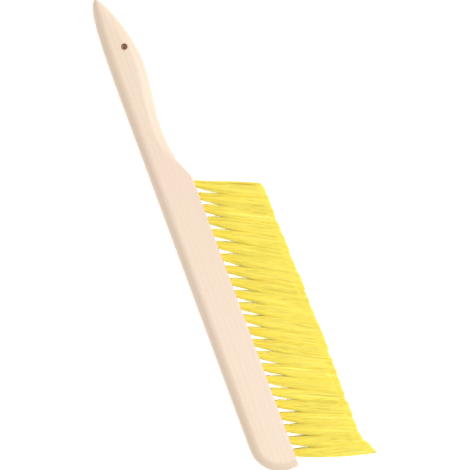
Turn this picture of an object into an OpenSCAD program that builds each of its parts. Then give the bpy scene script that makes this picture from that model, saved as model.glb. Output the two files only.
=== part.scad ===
// Bee brush: a one-piece beech back with a tapered grip, and two rows of soft nylon
// tufts. Each tuft is folded over a flat wire anchor at the bottom of its own slanted
// hole, and the anchor's ends bite into the wood.
//
// +X runs from the grip towards the toe, +Y out along the bristles, +Z up through the
// board. The origin is on the axis of the hang hole, in the lower flat face.

/* [Wooden back] */
// Overall length of the back, from the tip of the grip to the toe
back_length = 415; // [380:1:500]
// Thickness of the board
back_thickness = 16; // [14:0.5:22]
// Depth where the back holds tufts, from the spine to the bristle face
back_depth = 33.2; // [29:0.2:42]
// Rounding along the spine, the toe and the grip
edge_round = 7.8; // [3:0.2:8]
// Rounding along the two long edges of the bristle face
face_round = 1.2; // [0.4:0.1:2]
// Radius of the toe's corner on the spine side, seen from above
toe_radius = 25.5; // [18:0.5:28]
// Radius of the toe's corner on the bristle side, seen from above
toe_corner = 3.5; // [1:0.5:4]

/* [Grip] */
// Depth of the grip at its widest
grip_depth = 28.6; // [25:0.2:36]
// Distance from the tip to the widest place
grip_widest = 60; // [50:1:75]
// Distance of the tip from the line of the spine
tip_offset = 9.8; // [7:0.2:13]
// Length over which the spine curves in to the tip
spine_curve = 90; // [60:1:110]
// Depth of the neck
neck_depth = 23.4; // [20:0.2:28]
// Distance from the tip to the neck
neck_at = 121; // [100:1:130]
// Depth where the shoulder's slope starts
shoulder_depth = 25.9; // [24:0.1:28]
// Distance from the tip to the start of the shoulder's slope
shoulder_at = 145.4; // [135:0.2:150]
// Distance from the tip to the heel of the bristle face
heel_at = 163; // [156:0.5:170]
// How far each way the heel's corner is rounded
heel_round = 2.5; // [1:0.5:5]

/* [Hang hole] */
// Diameter of the hang hole
hang_d = 5; // [3:0.5:8]
// Distance from the tip of the grip to the hang hole
hang_from_tip = 45.1; // [35:0.1:60]
// Distance from the line of the spine to the hang hole
hang_from_spine = 17.9; // [13:0.1:19]

/* [Tuft holes] */
// Number of tufts in each of the two rows
tufts_per_row = 23; // [12:1:26]
// Diameter of a tuft hole
hole_d = 5.5; // [4:0.1:5.8]
// Depth of a tuft hole along its axis, down to the drill's point
hole_depth = 13; // [10:0.5:16]
// Lean of the holes towards the toe, from square to the bristle face
hole_lean = 30; // [15:1:38]
// How much less the last hole leans, in degrees
toe_hole_lift = 8; // [0:0.5:12]
// Distance between the two rows
row_spacing = 6.5; // [6.2:0.1:7.5]
// Distance from the heel to the first tuft
heel_margin = 6.6; // [5:0.2:12]
// Distance from the last tuft to the toe
toe_margin = 11.8; // [9:0.2:20]

/* [Bristles] */
// Height of the bristles above the bristle face, at the heel
bristle_length = 52.2; // [40:0.2:75]
// Extra height that the bristles gain towards the toe
crown = 2.7; // [0:0.1:6]
// Extra height of the flick at the last tuft's outer corner
toe_flick = 8; // [0:0.2:12]
// Length over which the flick at the toe rises
flick_length = 16; // [12:0.5:20]
// Distance from the toe back to where the flick starts
flick_back = 8; // [0:0.5:12]
// How much less the first tuft leans than its hole, in degrees
heel_lift = 4; // [0:0.5:8]
// How much less the last tuft leans than its hole, in degrees
toe_lift = 5.5; // [0:0.5:12]
// Height over which a tuft spreads until it meets the next
spread_height = 18; // [10:0.5:30]
// How far the first and last tufts splay past the ends of the rows
end_splay = 0.8; // [0:0.1:2]
// Gap left between neighbouring tufts
tuft_gap = 0.3; // [0.1:0.05:0.6]
// How far a tuft swells past the edge of its hole, just above the face
root_swell = 0.15; // [0.13:0.01:0.3]
// How much further it swells along the row, where the hole's mouth lets it fan out
row_swell = 0.45; // [0:0.05:0.6]
// How far the bristles stay inside the board's two faces
face_inset = 0.5; // [0.2:0.1:2]

/* [Anchors] */
// Width of the flat anchor wire, along the hole
anchor_width = 2.2; // [1.5:0.1:3]
// Thickness of the flat anchor wire
anchor_thickness = 0.4; // [0.3:0.05:0.6]
// How far each end of an anchor bites into the wood
anchor_bite = 0.5; // [0.3:0.05:0.8]
// Thickness of the fold of bristles under an anchor
fold_thickness = 1.6; // [1:0.1:3]

/* [Clearances] */
// Gap around a tuft in its hole, and under it
tuft_clearance = 0.05; // [0.02:0.01:0.1]
// Gap around an anchor in its seat
anchor_clearance = 0.05; // [0.02:0.01:0.1]

/* [Hidden] */
wood_color = [0.96, 0.88, 0.80];
bristle_color = [0.98, 0.90, 0.36];
wire_color = [0.75, 0.76, 0.78];
$fn = 48;
overrun = 3;              // how far a cutter runs past the face it cuts
drill_point = 1.2;        // height of the drill's cone at the bottom of a tuft hole
arc_steps = 6;            // steps in a quarter round of the grip's section
tip_stations = 14;        // sections from the tip of the grip to its widest place
tip_start = 0.4;          // where the first of them is, in steps
neck_stations = 8;        // sections on to the neck
shoulder_stations = 4;    // sections on to the start of the shoulder's slope
slope_stations = 3;       // sections up the slope
corner_stations = 4;      // sections round the corner at the heel
spine_power = 2.5;        // how late the spine turns in to the tip
palm_rise_power = 0.8;    // how blunt the tip is on the palm side
palm_level_power = 1.5;   // how gently the palm side levels out at the widest place
shoulder_power = 1.5;     // how late the neck turns up to the shoulder
narrow_share = 0.98;      // share of half the depth that a rounding may take up
ring_sides = 12;          // sides of a tuft's ring
tip_square = 0.6;         // how square a tuft's ring is at its tip: 1 is an ellipse
upper_rings = [0.35, 0.7]; // where its rings lie between its full spread and its tip
root_lift = 0.4;          // how far above the bristle face a tuft starts to spread
root_overlap = 2.4;       // how far its round root runs up inside the spreading part
heel_lift_power = 6;      // how quickly the heel's lift dies out along the rows
toe_lift_power = 4;       // how late the lifts at the toe set in
crown_share = 0.65;       // share of the bristles' run in which the crown is gained
flick_power = 1.25;       // how sharply the flick at the toe steepens
mid_z = back_thickness / 2;
nose = min(edge_round, mid_z - 0.2);
blade_start = heel_at + heel_round;
heel_tuft_x = heel_at + heel_margin;
toe_tuft_x = back_length - toe_margin;
pitch = (toe_tuft_x - heel_tuft_x) / (tufts_per_row - 1);
full_height = bristle_length + crown;
root_r = hole_d / 2 - tuft_clearance;
swell_r = hole_d / 2 + root_swell;
anchor_seat = hole_depth - tuft_clearance - fold_thickness;
anchor_length = hole_d + 2 * anchor_bite;
anchor_seat_length = anchor_length + 2 * anchor_clearance;
ROWS = ["lower", "upper"];

function two_digits(k) = str(k < 10 ? "0" : "", k);
function tuft_name(row, i) = str(ROWS[row], "_tuft_", two_digits(i + 1));
function anchors_name(row) = str(ROWS[row], "_anchors");

function ease(t) = (1 - cos(180 * min(max(t, 0), 1))) / 2;
function mix(a, b, t) = a + (b - a) * t;

// ---- shapes ----

// Joins rings of points, all of one length, into one closed solid. Each ring turns by the
// right-hand rule about the way that the rings advance.
module loft(rings) {
    n = len(rings[0]);
    last = len(rings) - 1;
    polyhedron(
        points = [for (ring = rings) each ring],
        faces = concat(
            [[for (k = [0:n - 1]) k]],
            [[for (k = [n - 1:-1:0]) last * n + k]],
            [for (i = [0:last - 1]) for (k = [0:n - 1])
                [i * n + k, (i + 1) * n + k, i * n + (k + 1) % n]],
            [for (i = [0:last - 1]) for (k = [0:n - 1])
                [i * n + (k + 1) % n, (i + 1) * n + k, (i + 1) * n + (k + 1) % n]]
        )
    );
}

// Moves what is drawn from the tip of the grip to the part's own origin.
module from_hang_hole() {
    translate([-hang_from_tip, -hang_from_spine, 0]) children();
}

// ---- outline of the grip, by distance from the tip ----

// The spine runs straight, and curves in to the tip.
function spine_edge(x) = tip_offset * pow(1 - sqrt(min(x / spine_curve, 1)), spine_power);

// The slope of the shoulder, with its corner at the heel rounded by a parabola.
function shoulder_edge(x) =
    let (slope = (back_depth - shoulder_depth) / (heel_at - shoulder_at))
    let (to_face = blade_start - x)
    to_face > 2 * heel_round
        ? shoulder_depth + slope * (x - shoulder_at)
        : back_depth - slope * to_face * to_face / (4 * heel_round);

// The other side swells from the tip, narrows to the neck and rises to the shoulder.
function swell(t) = 1 - pow(1 - pow(t, palm_rise_power), palm_level_power);
function palm_edge(x) =
    x < grip_widest
        ? mix(tip_offset, grip_depth, swell(x / grip_widest))
    : x < neck_at
        ? mix(grip_depth, neck_depth, ease((x - grip_widest) / (neck_at - grip_widest)))
    : x < shoulder_at
        ? mix(neck_depth, shoulder_depth,
              pow((x - neck_at) / (shoulder_at - neck_at), shoulder_power))
    : shoulder_edge(x);

// The palm side's rounding dies out between the neck and the bristle face.
function palm_round(x) = mix(nose, face_round, ease((x - neck_at) / (blade_start - neck_at)));

// Radii of a rounded edge across and up, where the grip is too narrow for the full rounding too.
function across(r, half) = min(r, narrow_share * half);
function up(r, half) = half < r ? sqrt(r * r - pow(r - half, 2)) : r;

function grip_ring(x) =
    let (half = (palm_edge(x) - spine_edge(x)) / 2)
    let (half_height = mid_z - nose + up(nose, half))
    [for (corner = [0:3]) for (k = [0:arc_steps])
        let (palm_side = corner == 0 || corner == 3)
        let (r = palm_side ? palm_round(x) : nose)
        let (edge = palm_side ? palm_edge(x) : spine_edge(x))
        let (y_side = palm_side ? 1 : -1)
        let (z_side = corner < 2 ? 1 : -1)
        let (angle = 90 * (corner + k / arc_steps))
        [x,
         edge + across(r, half) * (cos(angle) - y_side),
         mid_z + z_side * (half_height - up(r, half)) + up(r, half) * sin(angle)]];

// The places after a, as many as given, that divide the way to b evenly.
function steps_to(a, b, count) = [for (k = [1:count]) mix(a, b, k / count)];

grip_stations = concat(
    [for (k = [0:tip_stations]) grip_widest * pow(max(k, tip_start) / tip_stations, 2)],
    steps_to(grip_widest, neck_at, neck_stations),
    steps_to(neck_at, shoulder_at, shoulder_stations),
    steps_to(shoulder_at, heel_at - heel_round, slope_stations),
    steps_to(heel_at - heel_round, blade_start, corner_stations)
);

// ---- wooden back ----

// A quarter round about a centre, from an angle on, in the same steps as the grip's sections,
// so that the two meet edge to edge.
function quarter_round(centre, r, start) =
    [for (k = [0:arc_steps])
        let (angle = start + 90 * k / arc_steps)
        centre + r * [cos(angle), sin(angle)]];

// Section of a board with its nose at the right: a strip as deep as given, from 0.
module nose_section(depth) {
    polygon(concat(
        [[0, 0]],
        quarter_round([depth - nose, nose], nose, -90),
        quarter_round([depth - nose, back_thickness - nose], nose, 0),
        [[0, back_thickness]]
    ));
}

// The straight stretch that holds the tufts, with its nose along the spine.
module blade() {
    translate([blade_start, back_depth, 0])
        rotate([90, 0, 90])
            linear_extrude(back_length - toe_radius - blade_start)
                mirror([1, 0]) nose_section(back_depth);
}

// The toe: the same nose carried round the corner and on to the bristle face.
module toe() {
    translate([back_length - toe_radius, toe_radius, 0])
        rotate([0, 0, -90])
            rotate_extrude(angle = 90) nose_section(toe_radius);
    translate([back_length - toe_radius, back_depth, 0])
        rotate([90, 0, 0])
            linear_extrude(back_depth - toe_radius) nose_section(toe_radius);
}

// What a rounding of radius r takes off a square corner at the origin.
module corner_waste(r) {
    polygon(concat(
        quarter_round([-r, -r], r, 0),
        [[-r, overrun], [overrun, overrun], [overrun, -r]]
    ));
}

// Draws its children at the lower face, and mirrored at the upper one.
module at_both_faces() {
    children();
    translate([0, 0, back_thickness]) mirror([0, 0, 1]) children();
}

// Eases both long edges of the bristle face and the toe's corner beside it.
module face_edges_waste() {
    at_both_faces()
        translate([blade_start, back_depth, 0])
            rotate([90, 0, 90])
                linear_extrude(back_length - blade_start + overrun)
                    mirror([0, 1]) corner_waste(face_round);
    translate([back_length, back_depth, -overrun])
        linear_extrude(back_thickness + 2 * overrun) corner_waste(toe_corner);
}

// ---- tufts and their holes, by row and by number from the heel ----

function row_z(row) = mid_z + (row - 0.5) * row_spacing;
function tuft_x(i) = heel_tuft_x + i * pitch;

// How far along its row a tuft is, from 0 at the heel to 1 at the toe.
function row_share(i) = i / (tufts_per_row - 1);

// How far a tuft's hole leans, in degrees: less towards the toe.
function hole_lean_at(i) = hole_lean - toe_hole_lift * pow(row_share(i), toe_lift_power);

// Puts the mouth of a tuft's hole at the origin, with +Y out along its axis.
module at_tuft(row, i) {
    translate([tuft_x(i), back_depth, row_z(row)]) rotate([0, 0, -hole_lean_at(i)]) children();
}

module tuft_hole() {
    r = hole_d / 2;
    rotate([90, 0, 0])
        rotate_extrude()
            polygon([[0, -overrun], [r, -overrun], [r, hole_depth], [0, hole_depth + drill_point]]);
}

// The flat wire of one anchor, or its seat when a clearance is given.
module anchor(clearance, length) {
    translate([0, -anchor_seat + anchor_width / 2, 0])
        cube([length, anchor_width + 2 * clearance, anchor_thickness + 2 * clearance], center = true);
}

module wooden_back() {
    color(wood_color)
        from_hang_hole()
            difference() {
                union() {
                    loft([for (x = grip_stations) grip_ring(x)]);
                    blade();
                    toe();
                }
                face_edges_waste();
                translate([hang_from_tip, hang_from_spine, -overrun])
                    cylinder(d = hang_d, h = back_thickness + 2 * overrun);
                for (row = [0, 1]) for (i = [0:tufts_per_row - 1]) at_tuft(row, i) {
                    tuft_hole();
                    anchor(anchor_clearance, anchor_seat_length);
                }
            }
}

module anchors(row) {
    color(wire_color)
        from_hang_hole()
            for (i = [0:tufts_per_row - 1]) at_tuft(row, i) anchor(0, anchor_length);
}

// How far a tuft as a whole leans, in degrees: less than its hole at both ends of the row.
function tuft_lean(i) =
    let (along = row_share(i))
    let (from_heel = heel_lift * pow(1 - along, heel_lift_power))
    hole_lean_at(i) - from_heel - toe_lift * pow(along, toe_lift_power);

// Where a tuft's middle line is at a height above the face. It leaves the hole along
// its axis, and bends to its own lean as a bar does that is held at one end.
function middle_x(i, height) =
    let (bend = tan(tuft_lean(i)) - tan(hole_lean_at(i)))
    let (part = height / full_height)
    let (straight = tuft_x(i) + height * tan(hole_lean_at(i)))
    straight + full_height * bend * part * part * (3 - part) / 2;

// Height of the trimmed tips above the face.
function trim_height(x) =
    let (heel_tip = middle_x(0, bristle_length))
    let (flick_start = back_length - flick_back)
    let (along = min(max((x - heel_tip) / (flick_start - heel_tip), 0), 1))
    let (past = max((x - flick_start) / flick_length, 0))
    bristle_length + crown * ease(along / crown_share) + toe_flick * pow(past, flick_power);

// How far a tuft reaches to one side of its middle line, -1 to the heel or 1 to the toe.
// It spreads until it meets the next, and the last one's outer side spreads up to its tip.
function reach(i, height, side) =
    let (half_way = side * (middle_x(i + side, height) - middle_x(i, height)) / 2)
    let (at_heel = side < 0 && i == 0)
    let (at_toe = side > 0 && i == tufts_per_row - 1)
    let (room = half_way - tuft_gap / 2 + (at_heel || at_toe ? end_splay : 0))
    let (share = min(height / (at_toe ? full_height : spread_height), 1))
    mix((swell_r + row_swell) / cos(hole_lean_at(i)), room, share);

// How far a tuft reaches up or down from its row: inwards to the other row, outwards
// to just inside the board's face.
function rise(row, height, side) =
    let (inwards = side * (row - 0.5) < 0)
    let (room = inwards ? row_spacing / 2 - tuft_gap / 2 : mid_z - row_spacing / 2 - face_inset)
    mix(swell_r, room, min(height / spread_height, 1));

function round_power(value, power) = sign(value) * pow(abs(value), power);

// One ring of a tuft. It lies flat at its height, or with the slope of the tips at the end.
function tuft_ring(row, i, height, slope) =
    let (power = mix(1, tip_square, height / full_height))
    [for (k = [0:ring_sides - 1])
        let (angle = 360 * k / ring_sides)
        let (out_z = rise(row, height, cos(angle) < 0 ? -1 : 1) * round_power(cos(angle), power))
        let (out_x = reach(i, height, sin(angle) < 0 ? -1 : 1) * round_power(sin(angle), power))
        [middle_x(i, height) + out_x, back_depth + height + slope * out_x, row_z(row) + out_z]];

module tuft(row, i) {
    straight_root = hole_depth - tuft_clearance + root_overlap;
    tip_x = middle_x(i, full_height);
    slope = (trim_height(tip_x + pitch / 2) - trim_height(tip_x - pitch / 2)) / pitch;
    tip = trim_height(tip_x);
    heights = concat(
        [root_lift, spread_height],
        [for (share = upper_rings) mix(spread_height, tip, share)]
    );
    color(bristle_color)
        from_hang_hole()
            difference() {
                union() {
                    at_tuft(row, i)
                        translate([0, root_overlap, 0])
                            rotate([90, 0, 0])
                                cylinder(r = root_r, h = straight_root);
                    loft(concat(
                        [for (height = heights) tuft_ring(row, i, height, 0)],
                        [tuft_ring(row, i, tip, slope)]
                    ));
                }
                at_tuft(row, i) anchor(anchor_clearance, anchor_seat_length);
            }
}

wooden_back();
for (row = [0, 1])
    anchors(row);
for (row = [0, 1])
    for (i = [0:tufts_per_row - 1])
        tuft(row, i);
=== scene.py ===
import math

import bmesh
import bpy
import numpy as np
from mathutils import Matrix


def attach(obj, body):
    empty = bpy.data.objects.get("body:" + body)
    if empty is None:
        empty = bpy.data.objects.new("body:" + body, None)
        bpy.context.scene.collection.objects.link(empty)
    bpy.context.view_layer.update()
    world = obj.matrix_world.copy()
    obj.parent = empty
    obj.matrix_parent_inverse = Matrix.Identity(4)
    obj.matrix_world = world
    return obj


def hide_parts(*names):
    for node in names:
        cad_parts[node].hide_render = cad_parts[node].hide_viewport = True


# Bee brush: a one-piece beech back with a tapered grip, and two rows of soft yellow nylon
# tufts along one edge. Shapes are worked out in millimetres from the tip of the grip, and
# go into the meshes in metres from the hang hole, as in the frame.

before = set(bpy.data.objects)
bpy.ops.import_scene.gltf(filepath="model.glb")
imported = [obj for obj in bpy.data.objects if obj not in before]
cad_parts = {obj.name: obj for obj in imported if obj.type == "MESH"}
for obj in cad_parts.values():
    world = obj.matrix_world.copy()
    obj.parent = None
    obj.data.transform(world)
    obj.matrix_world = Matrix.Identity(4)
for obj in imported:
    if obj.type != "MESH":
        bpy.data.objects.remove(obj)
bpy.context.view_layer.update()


# ---- Wooden back -------------------------------------------------------------
# One piece of pale beech, sawn to shape, rounded over along the spine, the toe and the
# grip, and sanded. A hang hole is drilled through the grip, and each tuft has a blind
# hole that leans towards the toe.

BACK_LENGTH = 415.0
BACK_DEPTH = 33.2
MID_Z = 8.0
NOSE = 7.8
FACE_ROUND = 1.2
# The share of half the width that a rounding may take, so that two never meet.
MOST_ROUND = 0.98
TOE_RADIUS = 25.5
TOE_CORNER = 3.5

GRIP_DEPTH = 28.6
GRIP_WIDEST = 60.0
TIP_OFFSET = 9.8
SPINE_CURVE = 90.0
NECK_DEPTH = 23.4
NECK_AT = 121.0
SHOULDER_DEPTH = 25.9
SHOULDER_AT = 145.4
HEEL_AT = 163.0
HEEL_ROUND = 2.5
BLADE_START = HEEL_AT + HEEL_ROUND

HANG_X = 45.1
HANG_Y = 17.9
HANG_RADIUS = 2.5
RIM = 0.5

TUFTS = 23
HOLE_RADIUS = 2.75
HOLE_DEPTH = 13.0
DRILL_POINT = 1.2
MOUTH_EASE = 0.15
HOLE_LEAN = math.radians(30)
TOE_HOLE_LIFT = math.radians(8)
ROW_SPACING = 6.5
HEEL_TUFT_X = HEEL_AT + 6.6
TOE_TUFT_X = BACK_LENGTH - 11.8
PITCH = (TOE_TUFT_X - HEEL_TUFT_X) / (TUFTS - 1)
ROW_Z = (MID_Z - ROW_SPACING / 2, MID_Z + ROW_SPACING / 2)


def ease(t):
    """A half wave of the cosine, from 0 at 0 to 1 at 1, level at both ends."""
    return (1 - np.cos(np.pi * np.clip(t, 0, 1))) / 2


def mix(a, b, t):
    """a at 0, b at 1, straight between."""
    return a + (b - a) * t


def in_frame(points):
    """Millimetres from the grip's tip to metres from the hang hole."""
    return (points - np.array([HANG_X, HANG_Y, 0.0])) / 1000


def spine_edge(x):
    """The spine's line: the tip's offset times (1 - root of the share of the curve) to
    the power 2.5, so it runs straight and then curves in to the tip."""
    return TIP_OFFSET * (1 - np.sqrt(np.clip(x / SPINE_CURVE, 0, 1))) ** 2.5


def palm_edge(x):
    """The other side's line: a blunt rise from the tip to the widest place, a cosine to
    the neck, a power curve to the shoulder, and a slope that a parabola rounds off at
    the heel."""
    rise = 1 - (1 - np.clip(x / GRIP_WIDEST, 0, 1) ** 0.8) ** 1.5
    swell = mix(TIP_OFFSET, GRIP_DEPTH, rise)
    neck = mix(GRIP_DEPTH, NECK_DEPTH, ease((x - GRIP_WIDEST) / (NECK_AT - GRIP_WIDEST)))
    turn = np.clip((x - NECK_AT) / (SHOULDER_AT - NECK_AT), 0, 1) ** 1.5
    shoulder = mix(NECK_DEPTH, SHOULDER_DEPTH, turn)
    slope = (BACK_DEPTH - SHOULDER_DEPTH) / (HEEL_AT - SHOULDER_AT)
    to_face = np.maximum(BLADE_START - x, 0)
    ramp = np.where(to_face > 2 * HEEL_ROUND, SHOULDER_DEPTH + slope * (x - SHOULDER_AT),
                    BACK_DEPTH - slope * to_face ** 2 / (4 * HEEL_ROUND))
    return np.select([x < GRIP_WIDEST, x < NECK_AT, x < SHOULDER_AT],
                     [swell, neck, shoulder], ramp)


def palm_round(x):
    """The palm side's rounding: full as far as the neck, and only eased at the heel."""
    return mix(NOSE, FACE_ROUND, ease((x - NECK_AT) / (BLADE_START - NECK_AT)))


def arc_height(radius, half):
    """How high a rounding rises: its radius, or where half the width is less than that,
    the height of the arc there."""
    inner = np.maximum(radius - half, 0)
    return np.sqrt(radius ** 2 - inner ** 2)


def edge_drop(distance, radius, half):
    """How much a quarter round lowers the face at a distance from its edge: its height
    times (1 - root of (1 - the square of the share of the rounding still to come))."""
    reach = np.maximum(np.minimum(radius, MOST_ROUND * half), 1e-9)
    to_come = np.clip(1 - distance / reach, 0, 1)
    return arc_height(radius, half) * (1 - np.sqrt(1 - to_come ** 2))


def half_thickness(x, y):
    """Half the board's thickness at a place in plan: its full half less whichever
    rounding takes more there, the nose on the spine and toe or the other side's."""
    in_grip = x < BLADE_START
    half = np.where(in_grip, (palm_edge(x) - spine_edge(x)) / 2, BACK_DEPTH / 2)
    past_centre = np.maximum(x - (BACK_LENGTH - TOE_RADIUS), 0)
    below_centre = np.maximum(TOE_RADIUS - y, 0)
    to_toe = TOE_RADIUS - np.hypot(past_centre, below_centre)
    to_nose = np.where(in_grip, y - spine_edge(x), to_toe)
    to_palm = np.where(in_grip, palm_edge(x), BACK_DEPTH) - y
    palm_radius = np.where(in_grip, palm_round(x), FACE_ROUND)
    drop = np.maximum(edge_drop(to_nose, NOSE, half), edge_drop(to_palm, palm_radius, half))
    return MID_Z - NOSE + arc_height(NOSE, half) - drop


def rounded_side(length, radius, start_y, towards):
    """Points and inward normals along one side from FAN_START: straight, a quarter
    round of the given radius, then straight across the toe's end."""
    straight = BACK_LENGTH - radius - FAN_START
    turn = np.clip((length - straight) / radius, 0, math.pi / 2)
    past = np.maximum(length - straight - radius * math.pi / 2, 0)
    x = FAN_START + np.minimum(length, straight) + radius * np.sin(turn)
    y = start_y + towards * (radius * (1 - np.cos(turn)) + past)
    return np.stack([x, y], -1), np.stack([-np.sin(turn), towards * np.cos(turn)], -1)


# Sections run across the grip and the blade, and fan out round the toe. They are closest
# at the tip. On the blade each tuft has a cell of its own, a few sections long.
FAN_START = 380.0
TIP_END = 17.9
TIP_ROWS, ROWS_TO_HOLE, ROWS_TO_BLADE = 14, 17, 75
CELL_ROWS, CELL_STEPS = 8, 5
WALL_STEPS = 2 * CELL_STEPS
LAST_CELL_END = 407.0
ROWS_TO_CORNER, CORNER_ROWS = 3, 11
between_tufts = HEEL_TUFT_X + PITCH * (np.arange(TUFTS - 1) + 0.5)
cell_edges = np.concatenate([[BLADE_START], between_tufts, [LAST_CELL_END]])
cell_shares = np.arange(CELL_ROWS) / CELL_ROWS
tip_rows = TIP_END * (np.concatenate([[0, 0.3, 0.6], np.arange(1, TIP_ROWS)]) / TIP_ROWS) ** 2
to_hole = np.linspace(TIP_END, HANG_X, ROWS_TO_HOLE + 1)[:-1]
to_blade = np.linspace(HANG_X, BLADE_START, ROWS_TO_BLADE + 1)[:-1]
grip_rows = np.concatenate([tip_rows, to_hole, to_blade])
blade_rows = mix(cell_edges[:-1, None], cell_edges[1:, None], cell_shares).ravel()
corner_start = BACK_LENGTH - TOE_CORNER - FAN_START
palm_length = corner_start + TOE_CORNER * math.pi / 2
to_corner = np.linspace(LAST_CELL_END - FAN_START, corner_start, ROWS_TO_CORNER + 1)[:-1]
round_corner = np.linspace(corner_start, palm_length, CORNER_ROWS + 1)
toe_rows = FAN_START + np.concatenate([to_corner, round_corner])
rows = np.concatenate([grip_rows, blade_rows, toe_rows])
spine_length = (BACK_LENGTH - TOE_RADIUS - FAN_START + TOE_RADIUS * math.pi / 2
                + BACK_DEPTH - TOE_CORNER - TOE_RADIUS)

fanned = rows > FAN_START
share = np.clip((rows - FAN_START) / palm_length, 0, 1)
upright = np.stack([np.zeros_like(rows), np.ones_like(rows)], -1)
spine_at = np.stack([rows, spine_edge(rows)], -1)
palm_at = np.stack([rows, palm_edge(rows)], -1)
toe_spine, toe_spine_in = rounded_side(share * spine_length, TOE_RADIUS, 0.0, 1)
toe_palm, toe_palm_in = rounded_side(share * palm_length, TOE_CORNER, BACK_DEPTH, -1)
spine_at = np.where(fanned[:, None], toe_spine, spine_at)
palm_at = np.where(fanned[:, None], toe_palm, palm_at)
spine_in = np.where(fanned[:, None], toe_spine_in, upright)
palm_in = np.where(fanned[:, None], toe_palm_in, -upright)

# Across a section: the nose's arc, the flat face, and the arc of the other side.
NOSE_STEPS, PALM_STEPS = 10, 8
nose_arc = 1 - np.cos(np.linspace(0, math.pi / 2, NOSE_STEPS + 1))
palm_arc = 1 - np.cos(np.linspace(0, math.pi / 2, PALM_STEPS + 1))
flat_shares = np.array([0.02, 0.1, 0.25, 0.42, 0.58, 0.75, 0.9, 0.98])
half_width = np.linalg.norm(palm_at - spine_at, axis=-1) / 2
nose_reach = np.minimum(NOSE, MOST_ROUND * half_width)
palm_reach = np.minimum(palm_round(np.minimum(rows, BLADE_START)), MOST_ROUND * half_width)
nose_in = nose_reach[:, None, None] * spine_in[:, None]
round_in = palm_reach[:, None, None] * palm_in[:, None]
sheet = np.concatenate([
    spine_at[:, None] + nose_in * nose_arc[:, None],
    mix(spine_at[:, None] + nose_in, palm_at[:, None] + round_in, flat_shares[:, None]),
    palm_at[:, None] + round_in * palm_arc[::-1, None]], axis=1)
rise = half_thickness(sheet[..., 0], sheet[..., 1])
rise[[0, -1]] = 0
columns = sheet.shape[1]
wall_shares = 1 - 2 * np.arange(1, WALL_STEPS) / WALL_STEPS
wall = np.repeat(sheet[:, -1:], WALL_STEPS - 1, axis=1)
plan = np.concatenate([sheet, wall, sheet[:, ::-1]], axis=1)
height = np.concatenate([rise, rise[:, -1:] * wall_shares, -rise[:, ::-1]], axis=1)
shell = np.concatenate([plan, (MID_Z + height)[..., None]], axis=-1)


def grid_faces(count, around):
    """Index rows for the quads of a grid of points: count sections of so many points
    around, row by row, with the last point of a section joined to its first."""
    i, j = np.meshgrid(np.arange(count - 1), np.arange(around), indexing="ij")
    onward = (j + 1) % around
    return np.stack([i * around + j, (i + 1) * around + j,
                     (i + 1) * around + onward, i * around + onward], axis=-1)


def stacked(parts):
    """Joins (points, quads) parts into one list of points and one of quads."""
    offsets = np.cumsum([0] + [len(points) for points, quads in parts[:-1]])
    quads = [quads + offset for (points, quads), offset in zip(parts, offsets)]
    return np.concatenate([points for points, quads in parts]), np.concatenate(quads)


around = shell.shape[1]
quads = grid_faces(len(rows), around)
first_cell = len(grip_rows)
last_cell = first_cell + len(blade_rows)
quads_kept = np.ones(quads.shape[:2], bool)
quads_kept[first_cell:last_cell, columns - 1:columns - 1 + WALL_STEPS] = False

# Where the hang hole goes through, a block of quads round it gives way to its own rings,
# on the upper face and on the lower one.
HANG_BLOCK_ROWS = 3
HANG_BLOCK_COLUMNS = (14, 22)
hang_row = len(tip_rows) + ROWS_TO_HOLE
hang_rows = slice(hang_row - HANG_BLOCK_ROWS, hang_row + HANG_BLOCK_ROWS)
hang_first, hang_last = HANG_BLOCK_COLUMNS
mirrored = 2 * columns + WALL_STEPS - 2
quads_kept[hang_rows, hang_first:hang_last] = False
quads_kept[hang_rows, mirrored - hang_last:mirrored - hang_first] = False


def loop_round(block):
    """The points round the edge of a block of grid points, in order."""
    return np.concatenate([block[:-1, 0], block[-1, :-1], block[:0:-1, -1], block[0, :0:-1]])


def mouth_angles(loop, centre, radii):
    """The angle of each loop point about a mouth's centre, in shares of its radii."""
    away = (loop - centre) / radii
    return np.arctan2(away[..., 1], away[..., 0])


# The hang hole: from the loop in to the hole, over its eased rim, and down to the middle.
RIM_POINTS = 6
block = sheet[hang_rows.start:hang_rows.stop + 1, hang_first:hang_last + 1]
hang_loop = loop_round(block)
hang_centre = np.array([HANG_X, HANG_Y])
angles = mouth_angles(hang_loop, hang_centre, 1.0)
spokes = np.stack([np.cos(angles), np.sin(angles)], -1)
rim_turn = np.linspace(0, math.pi / 2, RIM_POINTS)
rim_radii = HANG_RADIUS + RIM * (1 - np.sin(rim_turn))
rim_rings = hang_centre + rim_radii[:, None, None] * spokes
inward_shares = np.array([0, 0.4, 0.75])
face_rings = mix(hang_loop, rim_rings[0], inward_shares[:, None, None])
hang_plan = np.concatenate([face_rings, rim_rings, rim_rings[-1:], rim_rings[-1:]])
hang_rise = half_thickness(hang_plan[..., 0], hang_plan[..., 1])
rim_start = len(face_rings)
hang_rise[rim_start:rim_start + RIM_POINTS] -= RIM * (1 - np.cos(rim_turn))[:, None]
hang_rise[-2] *= 0.5
hang_rise[-1] = 0
hang_upper = np.concatenate([hang_plan, (MID_Z + hang_rise)[..., None]], -1)
hang_lower = np.concatenate([hang_plan, (MID_Z - hang_rise)[..., None]], -1)[-2::-1]
hang_points = np.concatenate([hang_upper, hang_lower])
hang_quads = grid_faces(len(hang_points), len(hang_loop))


def hole_lean(number):
    """How far a tuft's hole leans towards the toe: less towards the toe, by the fourth
    power of how far along its row it is."""
    return HOLE_LEAN - TOE_HOLE_LIFT * (number / (TUFTS - 1)) ** 4


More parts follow.
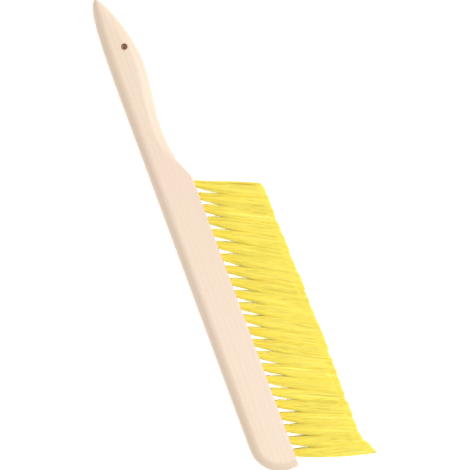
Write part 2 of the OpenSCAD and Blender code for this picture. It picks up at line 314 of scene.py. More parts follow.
# A tuft hole's cell of the bristle face, from its edge in to the mouth, and the drilled
# hole behind it: straight walls down to the depth, then the drill's cone.
step_shares = np.arange(CELL_STEPS) / CELL_STEPS
corner_u = np.concatenate([cell_shares, np.ones(CELL_STEPS), 1 - cell_shares, np.zeros(CELL_STEPS)])
corner_v = np.concatenate([np.zeros(CELL_ROWS), step_shares, np.ones(CELL_ROWS), 1 - step_shares])
FACE_HALF = MID_Z - FACE_ROUND
numbers = np.arange(TUFTS)
hole_x = HEEL_TUFT_X + PITCH * numbers
leans = hole_lean(numbers)[:, None]
mouth_radii = np.stack([HOLE_RADIUS / np.cos(leans), np.full_like(leans, HOLE_RADIUS)], -1)
# Each ring's radius, its depth, its share of the way to that depth, and how far it is set in.
HOLE_RINGS = ((HOLE_RADIUS + MOUTH_EASE, HOLE_DEPTH, 0, 0),
              (HOLE_RADIUS, HOLE_DEPTH, 0, MOUTH_EASE),
              (HOLE_RADIUS, HOLE_DEPTH, 0.3, 0),
              (HOLE_RADIUS, HOLE_DEPTH, 1, 0),
              (0, HOLE_DEPTH + DRILL_POINT, 1, 0))
BETWEEN_EDGE_AND_MOUTH = 0.6
hole_parts = []
for row in (0, 1):
    u = mix(cell_edges[:-1, None], cell_edges[1:, None], corner_u)
    v = MID_Z + FACE_HALF * (corner_v - 1 + row) + np.zeros_like(u)
    loops = np.stack([u, v], -1)
    mouth = np.stack([hole_x, np.full(TUFTS, ROW_Z[row])], -1)[:, None]
    angle = mouth_angles(loops, mouth, mouth_radii)
    rings = []
    for radius, depth, depth_share, set_in in HOLE_RINGS:
        sideways = radius * np.cos(angle)
        outward = mix(sideways * np.tan(leans) - set_in, -depth, depth_share)
        rings.append(np.stack([
            hole_x[:, None] + sideways * np.cos(leans) + outward * np.sin(leans),
            BACK_DEPTH - sideways * np.sin(leans) + outward * np.cos(leans),
            ROW_Z[row] + radius * np.sin(angle)], -1))
    edge = np.stack([u, np.full_like(u, BACK_DEPTH), v], -1)
    rings = np.stack([edge, mix(edge, rings[0], BETWEEN_EDGE_AND_MOUTH)] + rings, axis=1)
    cell_quads = grid_faces(rings.shape[1], rings.shape[2])
    per_cell = rings.shape[1] * rings.shape[2]
    all_quads = cell_quads.reshape(-1, 4) + per_cell * numbers[:, None, None]
    hole_parts.append((rings.reshape(-1, 3), all_quads.reshape(-1, 4)))

back_points, back_quads = stacked([
    (shell.reshape(-1, 3), quads[quads_kept]),
    (hang_points.reshape(-1, 3), hang_quads.reshape(-1, 4))] + hole_parts)


MERGE_WITHIN = 2e-6
SHARP_ANGLE = math.radians(40)


def new_piece(name, points, quads):
    """A mesh object at the origin, from points in millimetres and quads. Its doubles are
    merged, which closes seams and poles, and its faces are turned outwards."""
    mesh = bpy.data.meshes.new(name)
    mesh.from_pydata(in_frame(points).tolist(), [], quads.tolist())
    shape = bmesh.new()
    shape.from_mesh(mesh)
    bmesh.ops.remove_doubles(shape, verts=shape.verts, dist=MERGE_WITHIN)
    bmesh.ops.recalc_face_normals(shape, faces=shape.faces)
    shape.to_mesh(mesh)
    shape.free()
    mesh.polygons.foreach_set("use_smooth", np.ones(len(mesh.polygons), bool))
    piece = bpy.data.objects.new(name, mesh)
    bpy.context.scene.collection.objects.link(piece)
    return piece


back = new_piece("beech_back", back_points, back_quads)
back.data.set_sharp_from_angle(angle=SHARP_ANGLE)


def node(tree, kind, inputs=None, **settings):
    """A shader node. inputs gives sockets, by name or number, a value or the socket that
    feeds them; settings are the node's own options."""
    made = tree.nodes.new("ShaderNode" + kind)
    for key, value in settings.items():
        setattr(made, key, value)
    for key, value in (inputs or {}).items():
        if isinstance(value, bpy.types.NodeSocket):
            tree.links.new(value, made.inputs[key])
        else:
            made.inputs[key].default_value = value
    return made


def new_material(name):
    """A material with an empty node tree, and its tree."""
    made = bpy.data.materials.new(name)
    made.use_nodes = True
    made.node_tree.nodes.clear()
    return made, made.node_tree


def band(tree, value, low, high, to_low=0.0, to_high=1.0):
    """A value taken smoothly from to_low at low to to_high at high."""
    return node(tree, "MapRange", {"Value": value, "From Min": low, "From Max": high,
                                   "To Min": to_low, "To Max": to_high},
                interpolation_type="SMOOTHSTEP").outputs[0]


def tinted(tree, share, under, over, blend="MIX"):
    """A colour laid over another by a share."""
    made = node(tree, "Mix", data_type="RGBA", blend_type=blend)
    for socket, value in ((made.inputs[0], share), (made.inputs[6], under), (made.inputs[7], over)):
        if isinstance(value, bpy.types.NodeSocket):
            tree.links.new(value, socket)
        else:
            socket.default_value = value
    return made.outputs[2]


def maths(tree, operation, *values):
    """A Math node on one, two or three values or sockets."""
    return node(tree, "Math", dict(enumerate(values)), operation=operation).outputs[0]


def squeezed(tree, position, shares):
    """A position with each of its directions taken at its own share, so that a pattern
    on it is drawn out where the share is small."""
    return node(tree, "VectorMath", {0: position, 1: shares}, operation="MULTIPLY").outputs[0]


def noise(tree, position, per_metre, detail, **inputs):
    """Soft noise on a position, from 0 to 1."""
    given = {"Vector": position, "Scale": per_metre, "Detail": detail, **inputs}
    return node(tree, "TexNoise", given).outputs["Fac"]


def relief(tree, height, strength, depth, under=None, invert=False):
    """A normal bumped by a height, on top of another normal where one is given."""
    given = {"Strength": strength, "Distance": depth, "Height": height}
    if under is not None:
        given["Normal"] = under
    return node(tree, "Bump", given, invert=invert).outputs[0]


def make_drawn_lines():
    """A group for fine lines that run along X, as sanding and wire drawing leave them:
    noise on a position that is squeezed along X."""
    group = bpy.data.node_groups.new("drawn_lines", "ShaderNodeTree")
    face = group.interface
    face.new_socket("Position", in_out="INPUT", socket_type="NodeSocketVector")
    face.new_socket("Lines per metre", in_out="INPUT", socket_type="NodeSocketFloat")
    face.new_socket("Stretch", in_out="INPUT", socket_type="NodeSocketVector")
    face.new_socket("Lines", in_out="OUTPUT", socket_type="NodeSocketFloat")
    given = group.nodes.new("NodeGroupInput")
    out = group.nodes.new("NodeGroupOutput")
    drawn_out = squeezed(group, given.outputs["Position"], given.outputs["Stretch"])
    lines = noise(group, drawn_out, given.outputs["Lines per metre"], 3.0, Roughness=0.6)
    group.links.new(lines, out.inputs["Lines"])
    return group


drawn_lines = make_drawn_lines()


def lines_along_x(tree, position, per_metre, stretch):
    """The drawn lines group, with its own number of lines and stretch along X."""
    made = tree.nodes.new("ShaderNodeGroup")
    made.node_tree = drawn_lines
    tree.links.new(position, made.inputs["Position"])
    made.inputs["Lines per metre"].default_value = per_metre
    made.inputs["Stretch"].default_value = (stretch, 1.0, 1.0)
    return made.outputs["Lines"]


BEECH_PALE = (0.68, 0.545, 0.42, 1)
BEECH_WARM = (0.665, 0.505, 0.355, 1)
BEECH_ROSE = (0.70, 0.535, 0.43, 1)
BEECH_FLECK = (0.50, 0.31, 0.19, 1)
BEECH_END_GRAIN_AND_SHADE = (0.60, 0.43, 0.30, 1)
BORE_BROWN_AND_SHADE = (0.60, 0.36, 0.21, 1)


def beech_finish():
    """Pale sanded beech, its grain along X: broad drifts of tone, faint growth lines, the
    short dark flecks that mark beech, fine pores, darker end grain where the surface
    faces along X, a painted pink shade towards the bristle face, a painted shade round
    the hang hole's mouth, and a bore browned by the drill and darkened further by painted shade."""
    made, tree = new_material("sanded_beech")
    position = node(tree, "TexCoord").outputs["Object"]
    x, y = node(tree, "SeparateXYZ", {0: position}).outputs[:2]
    grain = squeezed(tree, position, (0.055, 1.0, 1.0))

    drift = noise(tree, grain, 95.0, 4.0, Roughness=0.55)
    broad = noise(tree, position, 14.0, 2.0)
    growth = node(tree, "TexWave", {"Vector": grain, "Scale": 75.0, "Distortion": 5.5,
                                    "Detail": 2.5, "Detail Scale": 1.4},
                  bands_direction="Y").outputs["Fac"]
    colour = tinted(tree, band(tree, drift, 0.35, 0.75, 0.0, 0.4), BEECH_PALE, BEECH_WARM)
    colour = tinted(tree, band(tree, broad, 0.45, 0.75, 0.0, 0.45), colour, BEECH_ROSE)
    colour = tinted(tree, band(tree, growth, 0.55, 1.0, 0.0, 0.08), colour, BEECH_FLECK)
    # Painted shade: a pink cast that deepens towards the bristle face.
    painted_face_shade = band(tree, y, 0.004, 0.0155, 0.0, 0.35)
    colour = tinted(tree, painted_face_shade, colour, BEECH_ROSE)

    cells = squeezed(tree, position, (300.0, 1500.0, 1500.0))
    fleck = node(tree, "TexVoronoi", {"Vector": cells, "Scale": 1.0, "Randomness": 1.0})
    chance = node(tree, "SeparateColor", {0: fleck.outputs["Color"]}).outputs[0]
    picked = band(tree, chance, 0.62, 0.72)
    marked = band(tree, fleck.outputs["Distance"], 0.16, 0.34, 1.0, 0.0)
    flecks = maths(tree, "MULTIPLY", picked, marked)
    colour = tinted(tree, maths(tree, "MULTIPLY", flecks, 0.26), colour, BEECH_FLECK)

    pores = lines_along_x(tree, position, 5200.0, 0.09)
    pore_marks = band(tree, pores, 0.60, 0.74)
    colour = tinted(tree, maths(tree, "MULTIPLY", pore_marks, 0.12), colour, BEECH_FLECK)

    facing = node(tree, "NewGeometry").outputs["Normal"]
    facing_x = maths(tree, "ABSOLUTE", node(tree, "SeparateXYZ", {0: facing}).outputs[0])
    end_grain = band(tree, facing_x, 0.45, 1.0)
    colour = tinted(tree, maths(tree, "MULTIPLY", end_grain, 0.5), colour, BEECH_END_GRAIN_AND_SHADE)

    # The hang hole is at the origin, so its bore, browned and darkened by painted shade, and
    # the painted shade round its rim are set by how far from it the wood is.
    x_squared = maths(tree, "MULTIPLY", x, x)
    y_squared = maths(tree, "MULTIPLY", y, y)
    from_hole = maths(tree, "SQRT", maths(tree, "ADD", x_squared, y_squared))
    # Painted shade round the hang hole's mouth, in the end grain's darker colour.
    painted_mouth_shade = band(tree, from_hole, 0.0028, 0.0052, 0.35, 0.0)
    colour = tinted(tree, painted_mouth_shade, colour, BEECH_END_GRAIN_AND_SHADE)
    # The bore's brown: browning by the drill, darkened further with painted shade.
    bore_browning_and_shade = band(tree, from_hole, 0.00255, 0.0028, 0.9, 0.0)
    colour = tinted(tree, bore_browning_and_shade, colour, BORE_BROWN_AND_SHADE)

    # The grip is a little smoother from the sanding belt and from hands than the blade.
    smooth = band(tree, x, 0.04, 0.10, 0.46, 0.54)
    roughness = maths(tree, "ADD", smooth, maths(tree, "MULTIPLY", drift, 0.10))
    roughness = maths(tree, "ADD", roughness, maths(tree, "MULTIPLY", end_grain, 0.12))

    sanding = maths(tree, "MULTIPLY", lines_along_x(tree, position, 2600.0, 0.035), 0.5)
    height = maths(tree, "ADD", sanding, maths(tree, "MULTIPLY", pores, 0.35))
    height = maths(tree, "SUBTRACT", height, maths(tree, "MULTIPLY", flecks, 0.25))
    height = maths(tree, "ADD", height, maths(tree, "MULTIPLY", growth, 0.18))
    fine_relief = relief(tree, height, 0.35, 0.00006)
    hand_made = noise(tree, position, 45.0, 1.0)
    normal = relief(tree, hand_made, 0.3, 0.0004, under=fine_relief)

    shader = node(tree, "BsdfPrincipled", {
        "Base Color": colour, "Roughness": roughness, "Normal": normal,
        "Specular IOR Level": 0.5, "Coat Weight": 0.6, "Coat Roughness": 0.35})
    node(tree, "OutputMaterial", {"Surface": shader.outputs[0]})
    return made


back.data.materials.append(beech_finish())
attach(back, "root")
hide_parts("wooden_back")


# ---- Wire anchors ------------------------------------------------------------
# A flat length of zinc-coated steel wire holds each tuft's fold at the bottom of its
# hole, and its two ends bite into the beech. They are the CAD model's own, out of sight.

ZINC = (0.56, 0.57, 0.59, 1)
ZINC_DULL = (0.36, 0.37, 0.40, 1)


def wire_finish():
    """Zinc-coated wire: bright drawing lines, and dull patches where the zinc has aged."""
    made, tree = new_material("zinc_wire")
    position = node(tree, "TexCoord").outputs["Object"]
    lines = lines_along_x(tree, position, 9000.0, 0.05)
    patches = noise(tree, position, 700.0, 3.0)
    colour = tinted(tree, band(tree, patches, 0.45, 0.7), ZINC, ZINC_DULL)
    roughness = maths(tree, "ADD", 0.26, maths(tree, "MULTIPLY", patches, 0.25))
    shader = node(tree, "BsdfPrincipled", {
        "Base Color": colour, "Metallic": 1.0, "Roughness": roughness,
        "Normal": relief(tree, lines, 0.3, 0.00003)})
    node(tree, "OutputMaterial", {"Surface": shader.outputs[0]})
    return made


zinc_wire = wire_finish()
for row_name in ("lower", "upper"):
    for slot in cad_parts[row_name + "_anchors"].material_slots:
        slot.material = zinc_wire


# ---- Bristles ----------------------------------------------------------------
# Two rows of 23 tufts of soft yellow nylon filament. A tuft is folded over its anchor,
# leaves its hole as a tight round bundle, spreads until it meets its neighbours, and is
# trimmed with the rest to one line that flicks up at the toe.

BRISTLE_LENGTH = 52.2
CROWN = 2.7
CROWN_SHARE = 0.65
FULL_HEIGHT = BRISTLE_LENGTH + CROWN
TOE_FLICK = 8.0
FLICK_LENGTH = 16.0
FLICK_START = BACK_LENGTH - 8.0
HEEL_LIFT = 4.0
TOE_LIFT = 5.5
HEEL_WEAR = 1.7
TOE_WEAR = 2.2

# A tuft's section: round in its hole, and squarer and wider as it goes up.
ROOT_RADIUS = 2.6
ROW_SWELL = 0.5
CROWDING = 1.1
END_SPLAY = 0.8
FACE_INSET = 0.5
SPREAD_HEIGHT = 18.0
SQUARE_HEIGHT = 21.0
TIP_SQUARE = 0.5

# Heights above the bristle face at which a filament has a point. The last one is past
# every tip, and is cut down to it. Points under a tip are at least END_STEP apart.
STATIONS = np.array([-12.4, -0.6, 1.5, 7.0, 13.0, 20.0, 28.0, 37.0, 46.0, 1e3])
END_STEP = 0.2


def lean(number):
    """A tuft's lean as a whole: its hole's, less a lift that dies out from the heel as
    the sixth power, and one that sets in towards the toe as the fourth power."""
    along = number / (TUFTS - 1)
    return hole_lean(number) - np.radians(HEEL_LIFT * (1 - along) ** 6 + TOE_LIFT * along ** 4)


def middle_x(number, height):
    """The tuft's middle line: straight out along its hole, then bent to its own lean as
    a bar is that is held at one end, share squared times (3 - share) over 2."""
    bend = np.tan(lean(number)) - np.tan(hole_lean(number))
    part = np.maximum(height, 0) / FULL_HEIGHT
    return (HEEL_TUFT_X + PITCH * number + height * np.tan(hole_lean(number))
            + FULL_HEIGHT * bend * part ** 2 * (3 - part) / 2)


def trim_height(x):
    """The trimmed tips' height: the bristle length, a crown gained over the first part
    of the rows, and the flick at the toe as a power of 1.25."""
    heel_tip = middle_x(0, BRISTLE_LENGTH)
    along = np.clip((x - heel_tip) / (FLICK_START - heel_tip), 0, 1)
    past = np.maximum((x - FLICK_START) / FLICK_LENGTH, 0)
    return BRISTLE_LENGTH + CROWN * ease(along / CROWN_SHARE) + TOE_FLICK * past ** 1.25


def powered(value, power):
    """A value's size to a power, with its own sign."""
    return np.sign(value) * np.abs(value) ** power


dice = np.random.default_rng(23)
# The height at which neighbours are fully crowded together, from the gap before the
# first tuft on. They first touch at some six tenths of it.
GAP_CLOSES = (20.0, 34.0)
gap_closes = dice.uniform(*GAP_CLOSES, TUFTS + 1)
# How much longer or shorter each tuft was trimmed.
TRIM_SPREAD = 0.25
trimmed = dice.normal(0, TRIM_SPREAD, TUFTS)


def in_tuft(row, number, angle, out, height):
    """Where a part of a tuft is at a height above the face: x, and z from its row. Its
    place in the section is an angle and a share of the way out. The section is round in
    the hole. It grows in a straight line, to the toe and heel until it meets its
    neighbours and up and down to just inside the board's faces, and gets squarer."""
    across, upward = np.sin(angle), np.cos(angle)
    above = np.maximum(height, 0)
    to_toe = across > 0
    neighbour = np.where(to_toe, number + 1, number - 1)
    room = np.abs(middle_x(neighbour, above) - middle_x(number, above)) / 2
    outer = np.where(to_toe, number == TUFTS - 1, number == 0)
    room = room + np.where(outer, END_SPLAY, CROWDING)
    closes = np.where(to_toe, gap_closes[number + 1], gap_closes[number])
    closes = np.where(outer & to_toe, FULL_HEIGHT, closes)
    root = ROOT_RADIUS + ROW_SWELL * np.clip(above, 0, 1)
    mouth_reach = root / np.cos(hole_lean(number))
    reach = mix(mouth_reach, room, np.clip(above / closes, 0, 1))
    inwards = (upward > 0) == (row == 0)
    rise_room = np.where(inwards, ROW_SPACING / 2 + CROWDING,
                         MID_Z - ROW_SPACING / 2 - FACE_INSET)
    climb = mix(ROOT_RADIUS, rise_room, np.clip(above / SPREAD_HEIGHT, 0, 1))
    power = mix(1.0, TIP_SQUARE, np.clip(above / SQUARE_HEIGHT, 0, 1))
    return (middle_x(number, height) + out * powered(across, power) * reach,
            out * powered(upward, power) * climb)


# How far apart the flow of one tuft is from the next one's, and of one row from the other.
FLOW_APART = 3.7 * PITCH
ROW_FLOW_APART = 41.3


def flow_at(row, number, angle, out, height):
    """Where a part of a tuft is in the flow of its filaments, in millimetres: how far up,
    and its place across and up the tuft, which stays the same along a filament. Tufts are
    set apart, so that no two have the same streaks."""
    across = PITCH / 2 * out * powered(np.sin(angle), TIP_SQUARE) + FLOW_APART * number
    upward = ROW_SPACING / 2 * out * powered(np.cos(angle), TIP_SQUARE) + ROW_FLOW_APART * row
    return np.stack(np.broadcast_arrays(height, across, upward), -1)


def side_share(angle, out):
    """How far a part of a tuft is from its middle towards the tufts beside it, 0 to 1."""
    return np.abs(powered(np.sin(angle), TIP_SQUARE)) * out


def tip_heights(number, angle, out):
    """The trimmed height at a place in a tuft's section. The first tuft's outer side is
    worn shorter, by a power of 1.5 of how far out it is past a tenth. So is the last
    one's, by the square of how far out it is past a half."""
    toeward = np.sin(angle) * out
    tip_x = middle_x(number, FULL_HEIGHT) + PITCH / 2 * toeward
    heel_worn = HEEL_WEAR * np.clip(-toeward - 0.1, 0, 1) ** 1.5 * (number == 0)
    toe_worn = TOE_WEAR * np.clip(2 * toeward - 1, 0, 1) ** 2 * (number == TUFTS - 1)
    return trim_height(tip_x) + trimmed[number] - (heel_worn + toe_worn)


# How the filaments are packed: most are in the shell, the outer part of the tuft.
FILAMENTS = 420
FILAMENT_RADIUS = 0.13
SPACING = 1.7
SHELL_SHARE = 0.62
SHELL_FROM = 0.80
# How unevenly they end: the usual scatter, a few long strays, a few short ones, and on
# the heel side of the first tuft many that are worn away. Shares, and lengths.
TIP_SCATTER = 0.55
STRAY_SHARE, STRAY_BY = 0.05, (0.6, 1.6)
SHORT_SHARE, SHORT_BY = 0.12, (0.5, 4.0)
WORN_SHARE, WORN_BY, WORN_FROM = 0.6, (0, 22.0), 0.45
# How far they wander from their places, to the toe and heel and up and down, how they
# sway, and how a few loose ones reach out from the tuft's side.
WANDER, WANDER_MOST = 0.45, (-1.1, 0.8)
LIFT_WANDER = 0.1
SWAY, SWAY_LENGTH, SWAY_START, SWAY_FULL_AT = 0.14, 11, (0, 6.3), 12
LOOSE_SHARE, LOOSE_REACH = 0.012, (0.1, 0.3)
LOOSE_FULL_AT, LOOSE_RETURN = 8, 30


def filament_paths(row, number):
    """The middle lines of a tuft's filaments, by filament and by station, with their flow
    and their side shares. Most are in the outer part of the tuft, spaced so that the
    squarish section above the gaps is covered evenly. Each keeps its own place in the
    section, and wanders from it and sways a little as it goes up."""
    def each(low, high):
        return dice.uniform(low, high, (FILAMENTS, 1))

    towards = each(0, 2 * math.pi)
    angle = np.arctan2(powered(np.sin(towards), SPACING), powered(np.cos(towards), SPACING))
    in_shell = each(0, 1) < SHELL_SHARE
    out = np.sqrt(dice.uniform(np.where(in_shell, SHELL_FROM, 0.0), 1.0))

    scatter = np.abs(dice.normal(0, TIP_SCATTER, (FILAMENTS, 1)))
    tips = tip_heights(number, angle, out) - scatter
    stray = (each(0, 1) < STRAY_SHARE) & (number < TUFTS - 1)
    tips = tips + np.where(stray, each(*STRAY_BY), 0)
    short = each(0, 1) < SHORT_SHARE
    tips = tips - np.where(short, each(*SHORT_BY), 0)
    outermost = (number == 0) & (-np.sin(angle) * out > WORN_FROM)
    worn_away = outermost & (each(0, 1) < WORN_SHARE)
    tips = tips - np.where(worn_away, each(*WORN_BY), 0)

    # A filament that ends below the last stations has those points just under its tip.
    under_tip = END_STEP * np.arange(len(STATIONS))[::-1]
    height = np.minimum(STATIONS, tips - under_tip)
    x, lift = in_tuft(row, number, angle, out, height)
    up_share = np.clip(height / FULL_HEIGHT, 0, 1)
    wander = np.clip(dice.normal(0, WANDER, (FILAMENTS, 1)), *WANDER_MOST) * up_share ** 1.5
    sway = SWAY * np.sin(height / SWAY_LENGTH + each(*SWAY_START))
    sway = sway * np.clip(height / SWAY_FULL_AT, 0, 1)
    # A few loose filaments reach out over the gap to the next tuft, and come back.
    free_side = np.where(np.sin(angle) > 0, number < TUFTS - 1, number > 0)
    loose = free_side & (each(0, 1) < LOOSE_SHARE)
    reach_out = np.where(loose, each(*LOOSE_REACH), 0)
    reach_out = reach_out * np.clip(height / LOOSE_FULL_AT, 0, 1)
    reach_out = reach_out * np.clip((FULL_HEIGHT - height) / LOOSE_RETURN, 0, 1)
    wander = wander + reach_out * (x - middle_x(number, height))
    lift = lift + dice.normal(0, LIFT_WANDER, (FILAMENTS, 1)) * up_share
    lowest = FACE_INSET - 2 * LIFT_WANDER
    z = np.clip(ROW_Z[row] + lift, lowest, 2 * MID_Z - lowest)
    return (np.stack([x + wander + sway, BACK_DEPTH + height, z], -1),
            flow_at(row, number, angle, out, height),
            np.broadcast_to(side_share(angle, out), height.shape))


HEART_SHARE = 0.87
HEART_SIDES = 24
HEART_BELOW_TIPS = 2.6
HEEL_THINNING = 0.28
MEETING_HEIGHT = 30.0


def tuft_heart(row, number):
    """Rings of the tuft's packed heart, which lies under its outer filaments, with their
    flow and side shares: the same section at a smaller share, from the hole to a little
    below the tips. It grows to the full section where it faces another tuft's, by the
    square of its height up to where they meet. The first tuft's heart thins towards the
    tips on its outer side instead, by a power of 1.5."""
    angle = np.linspace(0, 2 * math.pi, HEART_SIDES, endpoint=False)
    top = tip_heights(number, angle, HEART_SHARE) - HEART_BELOW_TIPS
    height = np.minimum(STATIONS[:, None], top)
    heel_side = np.clip(-np.sin(angle), 0, 1) * (number == 0)
    facing_out = np.clip(np.cos(angle) * (-1 if row == 0 else 1), 0, 1)
    faces_tuft = (1 - facing_out ** 2) * (1 - (heel_side > 0))
    meets = faces_tuft * np.clip(height / MEETING_HEIGHT, 0, 1) ** 2
    thins = HEEL_THINNING * heel_side * np.clip(height / FULL_HEIGHT, 0, 1) ** 1.5
    share = HEART_SHARE + (1 - HEART_SHARE) * meets - thins
    x, lift = in_tuft(row, number, angle, share, height)
    return (np.stack([x, BACK_DEPTH + height, ROW_Z[row] + lift], -1),
            flow_at(row, number, angle, share, height), side_share(angle, share))


# Filaments are thin enough for three sides. A tube's first corner is up to this far round.
TUBE_SIDES = 3
TUBE_TURN = 2.1


def filament_tubes(paths, radius):
    """Three-sided tubes along the paths, closed at both ends. A tube's corners stand
    round its path at thirds of a turn from a random start, square to its direction."""
    count, stations = paths.shape[:2]
    forward = np.gradient(paths, axis=1)
    forward /= np.linalg.norm(forward, axis=-1, keepdims=True)
    side = np.cross(forward, np.array([0.0, 0.0, 1.0]))
    side /= np.linalg.norm(side, axis=-1, keepdims=True)
    other = np.cross(side, forward)
    corner_turns = np.arange(TUBE_SIDES) * 2 * math.pi / TUBE_SIDES
    turn = (dice.uniform(0, TUBE_TURN, (count, 1)) + corner_turns)[:, None, :, None]
    around_path = np.cos(turn) * side[:, :, None] + np.sin(turn) * other[:, :, None]
    corners = paths[:, :, None] + radius * around_path
    quads = grid_faces(stations, TUBE_SIDES).reshape(-1, 4)
    one = stations * TUBE_SIDES
    ends = np.array([[0, 1, 2], [one - 1, one - 2, one - 3]])
    starts = one * np.arange(count)[:, None, None]
    return (corners.reshape(-1, 3), (quads + starts).reshape(-1, 4),
            (ends + starts).reshape(-1, 3))


HEART_TONE = 0.45


def new_tuft(name, row, number):
    """A tuft's mesh: its filaments and its heart. Each point has four attributes for the
    finish: its share of the way up, its filament's own tone, where it is in the flow of
    the filaments, in metres, and its side share."""
    paths, path_flow, path_side = filament_paths(row, number)
    tubes, tube_quads, tube_ends = filament_tubes(paths, FILAMENT_RADIUS)
    heart, heart_flow, heart_side = tuft_heart(row, number)
    first = len(tubes)
    heart_quads = grid_faces(len(STATIONS), HEART_SIDES).reshape(-1, 4) + first
    heart_top = first + (len(STATIONS) - 1) * HEART_SIDES + np.arange(HEART_SIDES)
    heart_foot = first + np.arange(HEART_SIDES)[::-1]
    points = np.concatenate([tubes, heart.reshape(-1, 3)])
    faces = tube_quads.tolist() + heart_quads.tolist() + tube_ends.tolist()
    faces += [heart_top.tolist(), heart_foot.tolist()]
    mesh = bpy.data.meshes.new(name)
    mesh.from_pydata(in_frame(points).tolist(), [], faces)
    shape = bmesh.new()
    shape.from_mesh(mesh)
    bmesh.ops.recalc_face_normals(shape, faces=shape.faces)
    shape.to_mesh(mesh)
    shape.free()

    def mark(attribute, kind, field, values):
        layer = mesh.attributes.new(attribute, kind, "POINT")
        layer.data.foreach_set(field, values.ravel())

    along = np.clip((points[:, 1] - BACK_DEPTH) / FULL_HEIGHT, 0, 1)
    filament_tone = np.repeat(dice.uniform(0, 1, FILAMENTS), first // FILAMENTS)
    tone = np.concatenate([filament_tone, np.full(heart.size // 3, HEART_TONE)])
    tube_flow = np.repeat(path_flow.reshape(-1, 3), TUBE_SIDES, axis=0)
    flow = np.concatenate([tube_flow, heart_flow.reshape(-1, 3)]) / 1000
    sideways = np.concatenate([np.repeat(path_side.ravel(), TUBE_SIDES), heart_side.ravel()])
    mark("flow", "FLOAT_VECTOR", "vector", flow)
    mark("sideways", "FLOAT", "value", sideways)
    mark("along", "FLOAT", "value", along)
    mark("tone", "FLOAT", "value", tone)
    # The trimmed ends are flat, so the heart's two end faces keep their own shading.
    smooth = np.ones(len(mesh.polygons), bool)
    smooth[-2:] = False
    mesh.polygons.foreach_set("use_smooth", smooth)
    piece = bpy.data.objects.new(name, mesh)
    bpy.context.scene.collection.objects.link(piece)
    return piece


NYLON_ROOT_SHADE = (0.97, 0.77, 0.08, 1)
NYLON = (0.98, 0.86, 0.14, 1)
NYLON_PALE_AND_LIT = (0.98, 0.90, 0.24, 1)
NYLON_DEEP = (0.97, 0.80, 0.10, 1)
NYLON_GOLD_SHADE = (0.97, 0.72, 0.06, 1)


def nylon_finish():
    """Yellow nylon filament: deeper at the root by painted shade, clearer towards the tip,
    each filament a little lighter or darker than the next, with a soft satin shine. Streaks
    and fine bundles of filaments run with the flow, with a golden painted shade between
    bundles. The tufts' sides have painted light where the gap between them is open, and a
    golden painted shade past it."""
    made, tree = new_material("yellow_nylon")
    along = node(tree, "Attribute", attribute_name="along").outputs["Fac"]
    tone = node(tree, "Attribute", attribute_name="tone").outputs["Fac"]
    # Painted shade: the colour deepens at the root, where the wood's edge shades it.
    colour = tinted(tree, band(tree, along, 0.0, 0.35), NYLON_ROOT_SHADE, NYLON)
    colour = tinted(tree, band(tree, tone, 0.62, 1.0, 0.0, 0.7), colour, NYLON_PALE_AND_LIT)
    colour = tinted(tree, band(tree, tone, 0.0, 0.3, 0.55, 0.0), colour, NYLON_DEEP)

    flow = node(tree, "Attribute", attribute_name="flow").outputs["Vector"]
    streaks = lines_along_x(tree, flow, 900.0, 0.02)
    colour = tinted(tree, band(tree, streaks, 0.5, 0.75, 0.0, 0.5), colour, NYLON_DEEP)

    # Painted light: a tuft's sides are paler as far as its gap is open, where light comes through
    # them. Past the gap, the light between two tufts has gone through filaments, so the join is
    # painted as a golden line of shade.
    sideways = node(tree, "Attribute", attribute_name="sideways").outputs["Fac"]
    painted_light_side = maths(tree, "MULTIPLY", band(tree, sideways, 0.65, 1.0, 0.0, 0.85),
                      band(tree, along, 0.15, 0.40, 1.0, 0.0))
    colour = tinted(tree, painted_light_side, colour, NYLON_PALE_AND_LIT)
    painted_shade_join = maths(tree, "MULTIPLY", band(tree, sideways, 0.75, 1.0, 0.0, 0.7),
                        band(tree, along, 0.20, 0.36))
    colour = tinted(tree, painted_shade_join, colour, NYLON_GOLD_SHADE)
    colour = tinted(tree, band(tree, along, 0.9, 1.05, 0.0, 0.35), colour, NYLON_PALE_AND_LIT)

    bundles = squeezed(tree, flow, (0.03, 1.0, 1.0))
    from_middle = node(tree, "TexVoronoi", {"Vector": bundles, "Scale": 2900.0}).outputs["Distance"]
    # Painted shade: a golden tint in the creases between bundles of filaments.
    colour = tinted(tree, band(tree, from_middle, 0.35, 0.75, 0.0, 0.35), colour, NYLON_GOLD_SHADE)
    roughness = maths(tree, "ADD", 0.34, maths(tree, "MULTIPLY", tone, 0.14))
    bundle_relief = relief(tree, from_middle, 0.4, 0.00015, invert=True)
    normal = relief(tree, streaks, 0.28, 0.0002, under=bundle_relief)
    shader = node(tree, "BsdfPrincipled", {
        "Base Color": colour, "Roughness": roughness, "Normal": normal,
        "Specular IOR Level": 0.4})
    node(tree, "OutputMaterial", {"Surface": shader.outputs[0]})
    return made


yellow_nylon = nylon_finish()
for row, row_name in enumerate(("lower", "upper")):
    for number in range(TUFTS):
        tuft = new_tuft(f"{row_name}_filaments_{number + 1:02d}", row, number)
        tuft.data.materials.append(yellow_nylon)
        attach(tuft, "root")
        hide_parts(f"{row_name}_tuft_{number + 1:02d}")


# ---- Studio ------------------------------------------------------------------
# A pale floor under the brush, which lies on its side, soft light from one side and
# above, and a camera straight overhead. The floor glows softly as painted light, more
# under the tufts, so that the gaps between their roots are clear, and dimly brown under
# the hang hole as painted shade.

FLOOR_Z = -0.00005
FLOOR_REACH = 3
FLOOR_WHITE = (0.92, 0.92, 0.92, 1)
GLOW_WHITE = (1, 1, 1, 1)
IN_HOLE_SHADE_GLOW = (0.24, 0.12, 0.07, 1)
HOLE_GLOW_EDGE = (0.004, 0.016)
FLOOR_GLOW = 0.45
TUFT_GLOW = 0.4
TUFT_GLOW_FROM_X = (0.108, 0.120)
TUFT_GLOW_FROM_Y = (0.010, 0.017)

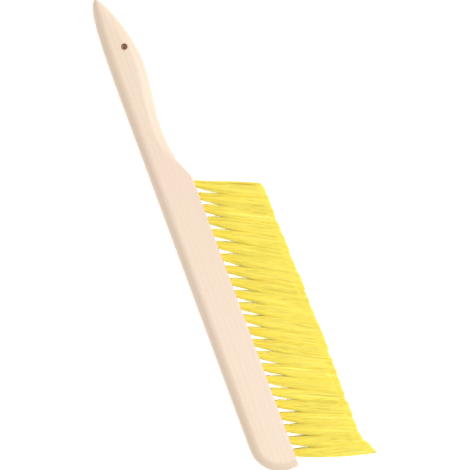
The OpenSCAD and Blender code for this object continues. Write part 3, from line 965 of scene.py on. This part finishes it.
floor_corners = [(-FLOOR_REACH, -FLOOR_REACH, FLOOR_Z), (FLOOR_REACH, -FLOOR_REACH, FLOOR_Z),
                 (FLOOR_REACH, FLOOR_REACH, FLOOR_Z), (-FLOOR_REACH, FLOOR_REACH, FLOOR_Z)]
floor_mesh = bpy.data.meshes.new("studio_floor")
floor_mesh.from_pydata(floor_corners, [], [(0, 1, 2, 3)])
floor = bpy.data.objects.new("studio_floor", floor_mesh)
bpy.context.scene.collection.objects.link(floor)


def floor_finish():
    """Matt white, with a painted glow: dimmed to brown near the hang hole as painted shade,
    and stronger as painted light in the corner of the floor past the heel and past the bristle
    face."""
    made, tree = new_material("studio_floor")
    place = node(tree, "TexCoord").outputs["Object"]
    from_hole = node(tree, "VectorMath", {0: place}, operation="LENGTH").outputs["Value"]
    # Painted shade: the glow is dimmed to brown under the hang hole.
    glow = tinted(tree, band(tree, from_hole, *HOLE_GLOW_EDGE), IN_HOLE_SHADE_GLOW, GLOW_WHITE)
    x, y = node(tree, "SeparateXYZ", {0: place}).outputs[:2]
    # Painted light: the glow is stronger under the tufts.
    under_tufts = maths(tree, "MULTIPLY", band(tree, x, *TUFT_GLOW_FROM_X),
                        band(tree, y, *TUFT_GLOW_FROM_Y))
    strength = maths(tree, "ADD", FLOOR_GLOW, maths(tree, "MULTIPLY", under_tufts, TUFT_GLOW))
    shader = node(tree, "BsdfPrincipled", {
        "Base Color": FLOOR_WHITE, "Roughness": 0.9,
        "Emission Color": glow, "Emission Strength": strength})
    node(tree, "OutputMaterial", {"Surface": shader.outputs[0]})
    return made


floor.data.materials.append(floor_finish())

VIEW_RIGHT = np.array([0.3468, 0.9379, 0.0])
VIEW_UP = np.array([-0.9379, 0.3468, 0.0])
VIEW_OUT = np.array([0.0, 0.0, 1.0])
VIEW_CENTRE = np.array([0.1749, 0.0314, 0.008])


def aimed(thing, place, target, up=VIEW_UP):
    """Puts a light or camera at a place, facing a target."""
    back_axis = (place - target) / np.linalg.norm(place - target)
    right = np.cross(up, back_axis)
    right /= np.linalg.norm(right)
    turned = np.eye(4)
    turned[:3, :3] = np.column_stack([right, np.cross(back_axis, right), back_axis])
    turned[:3, 3] = place
    thing.matrix_world = turned.T.tolist()


def softbox(name, towards, distance, size, power):
    """A square soft light at a distance from the brush, in a direction given as right,
    up and out."""
    lamp = bpy.data.lights.new(name, "AREA")
    lamp.size = size
    lamp.energy = power
    made = bpy.data.objects.new(name, lamp)
    bpy.context.scene.collection.objects.link(made)
    direction = VIEW_RIGHT * towards[0] + VIEW_UP * towards[1] + VIEW_OUT * towards[2]
    aimed(made, VIEW_CENTRE + distance * direction / np.linalg.norm(direction), VIEW_CENTRE)


softbox("overhead_softbox", (0.25, -0.07, 1.0), 2.6, 0.35, 32)
softbox("side_softbox", (1.0, 0.3, 0.9), 3.0, 2.0, 37.5)

AIR_WHITE = (1, 1, 1, 1)
AIR_LIGHT = 0.59
world = bpy.data.worlds.new("studio_air")
bpy.context.scene.world = world
world.use_nodes = True
air = world.node_tree.nodes["Background"]
air.inputs["Color"].default_value = AIR_WHITE
air.inputs["Strength"].default_value = AIR_LIGHT

CAMERA_DISTANCE = 3.0
VIEW_WIDTH = 0.3832
SENSOR_WIDTH = 36.0
lens = bpy.data.cameras.new("overhead_camera")
lens.sensor_width = SENSOR_WIDTH
lens.lens = SENSOR_WIDTH * CAMERA_DISTANCE / VIEW_WIDTH
camera = bpy.data.objects.new("overhead_camera", lens)
bpy.context.scene.collection.objects.link(camera)
aimed(camera, VIEW_CENTRE + CAMERA_DISTANCE * VIEW_OUT, VIEW_CENTRE)
bpy.context.scene.camera = camera
bpy.context.scene.view_settings.view_transform = "Standard"
